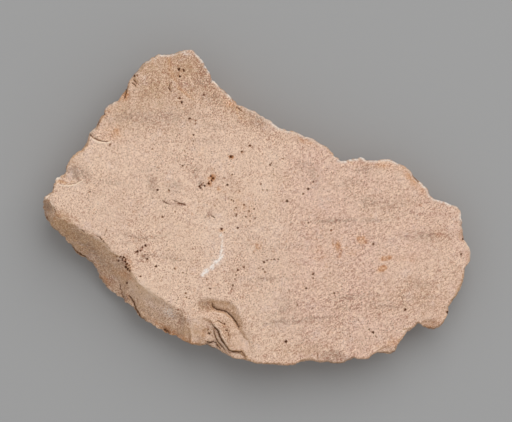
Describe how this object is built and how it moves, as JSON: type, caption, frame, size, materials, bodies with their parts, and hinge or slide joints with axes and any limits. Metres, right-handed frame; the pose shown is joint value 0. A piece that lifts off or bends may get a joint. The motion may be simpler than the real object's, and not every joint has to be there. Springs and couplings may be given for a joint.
{
  "type": "ostracon",
  "caption": "Flat flake of pale limestone, broken off on every side, with a smooth face to write on, bevelled breaks and a stepped spall on the lower edge, and a flat back.",
  "frame": {"origin": "middle of the outline's bounding box, on the flat back", "axes": "+X along the flake's longest side, to the right as one faces the smooth face with its pointed end left; +Y across it, up in the picture; +Z straight out of the back towards the smooth face"},
  "size_m": [0.1499, 0.1104, 0.0209],
  "materials": {
    "limestone": "matt, fine-grained, with darker worn breaks and faint stains"
  },
  "bodies": {
    "root": {"limestone_flake": "limestone"}
  },
  "joints": []
}
